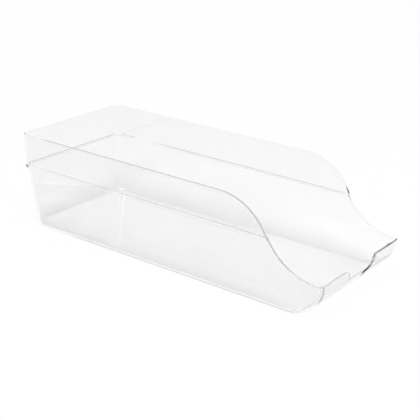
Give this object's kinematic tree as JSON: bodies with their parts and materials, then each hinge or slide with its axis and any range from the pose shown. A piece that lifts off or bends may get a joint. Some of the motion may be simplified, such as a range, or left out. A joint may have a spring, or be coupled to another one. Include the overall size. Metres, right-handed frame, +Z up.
{
  "type": "can organizer",
  "caption": "Clear moulded tray for drink cans laid in a row: open top, stepped collar, side walls that sweep down to a low curved front lip with a finger notch.",
  "frame": {"origin": "middle of the underside, on the surface that the tray stands on", "axes": "+X across the tray, the lip and its notch face -Y, the back wall faces +Y, +Z is up"},
  "size_m": [0.146, 0.352, 0.096],
  "materials": {
    "clear_plastic": "clear, hard and glossy, as moulded"
  },
  "bodies": {
    "root": {"tray": "clear_plastic"}
  },
  "joints": []
}
